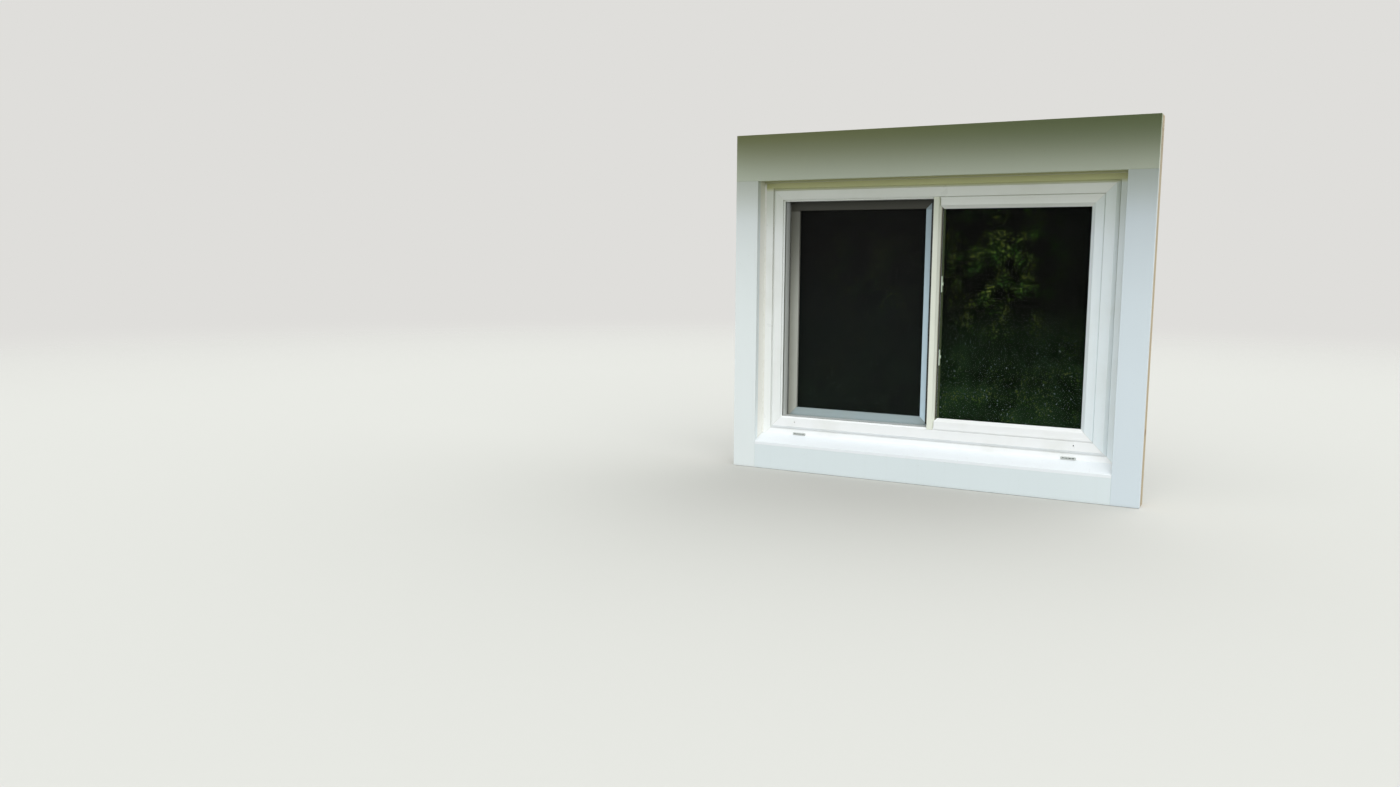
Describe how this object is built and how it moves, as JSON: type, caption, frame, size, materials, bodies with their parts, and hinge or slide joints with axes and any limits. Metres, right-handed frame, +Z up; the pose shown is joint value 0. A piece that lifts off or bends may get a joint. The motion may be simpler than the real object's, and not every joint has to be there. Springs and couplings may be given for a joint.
{
  "type": "sliding window with exterior trim",
  "caption": "White vinyl horizontal sliding window: a fixed lite beside a sliding sash behind an insect screen, set in flat exterior casings with a deep reveal and sloped sill ledge.",
  "frame": {"origin": "on the back face of the sill's nailing fin, at the middle of its length and of its width, in the plane of the wall's sheathing", "axes": "+X to the right as seen from outside, +Y into the house, +Z up; the outside of the window faces -Y"},
  "size_m": [1.148, 0.149, 0.9767],
  "materials": {
    "trim": "satin white",
    "packing": "sawn softwood",
    "vinyl": "smooth extruded white",
    "weep_cover": "moulded white",
    "glass": "clear float",
    "spacer": "mill",
    "roller": "moulded",
    "lock": "white enamel",
    "screen_frame": "grey enamel",
    "screen_mesh": "woven coated yarn",
    "spline": "matt",
    "seal": "matt"
  },
  "bodies": {
    "root": {"head_casing": "trim", "left_casing": "trim", "right_casing": "trim", "apron_casing": "trim", "sill_ledge": "trim", "head_return": "trim", "left_return": "trim", "right_return": "trim", "head_packing": "packing", "left_packing": "packing", "right_packing": "packing", "apron_packing": "packing", "frame_head": "vinyl", "frame_sill": "vinyl", "frame_left_jamb": "vinyl", "frame_right_jamb": "vinyl", "weep_covers": "weep_cover", "fixed_top_rail": "vinyl", "fixed_bottom_rail": "vinyl", "fixed_side_stile": "vinyl", "fixed_meeting_stile": "vinyl", "fixed_outer_glass": "glass", "fixed_inner_glass": "glass", "fixed_glass_spacer": "spacer", "fixed_glazing_beads": "vinyl", "sash_top_rail": "vinyl", "sash_bottom_rail": "vinyl", "sash_pull_stile": "vinyl", "sash_meeting_stile": "vinyl", "sash_outer_glass": "glass", "sash_inner_glass": "glass", "sash_glass_spacer": "spacer", "sash_glazing_beads": "vinyl", "sash_rollers": "roller", "roller_housings": "roller", "cam_locks": "lock", "lock_keepers": "lock", "screen_top_rail": "screen_frame", "screen_bottom_rail": "screen_frame", "screen_left_stile": "screen_frame", "screen_right_stile": "screen_frame", "screen_mesh": "screen_mesh", "screen_spline": "spline", "screen_seal": "seal", "sash_weatherstrips": "seal"}
  },
  "joints": []
}
